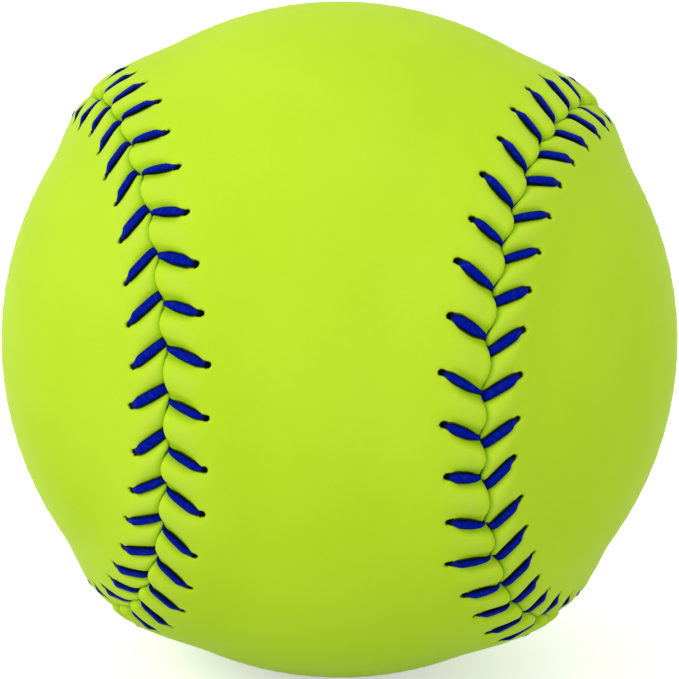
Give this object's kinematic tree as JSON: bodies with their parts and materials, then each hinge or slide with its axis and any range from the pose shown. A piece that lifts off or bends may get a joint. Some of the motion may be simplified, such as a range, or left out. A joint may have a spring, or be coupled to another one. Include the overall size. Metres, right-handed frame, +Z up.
{
  "type": "softball",
  "caption": "Round ball with a two-panel leather cover, sewn along a raised figure-of-eight seam over a moulded core, for throwing, catching and batting.",
  "frame": {"origin": "centre of the ball", "axes": "-Y faces the front panel's waist, +Z runs up along that waist, +X is to its right"},
  "size_m": [0.097, 0.0972, 0.097],
  "materials": {
    "core_foam": "dense moulded polyurethane, matte",
    "latex_cement": "dried latex cement, dull",
    "yellow_leather": "smooth optic yellow leather, matte, fine grain",
    "blue_thread": "waxed deep blue thread, slight sheen"
  },
  "bodies": {
    "root": {"core": "core_foam", "cement_film": "latex_cement", "front_panel": "yellow_leather", "back_panel": "yellow_leather", "first_thread": "blue_thread", "second_thread": "blue_thread"}
  },
  "joints": []
}
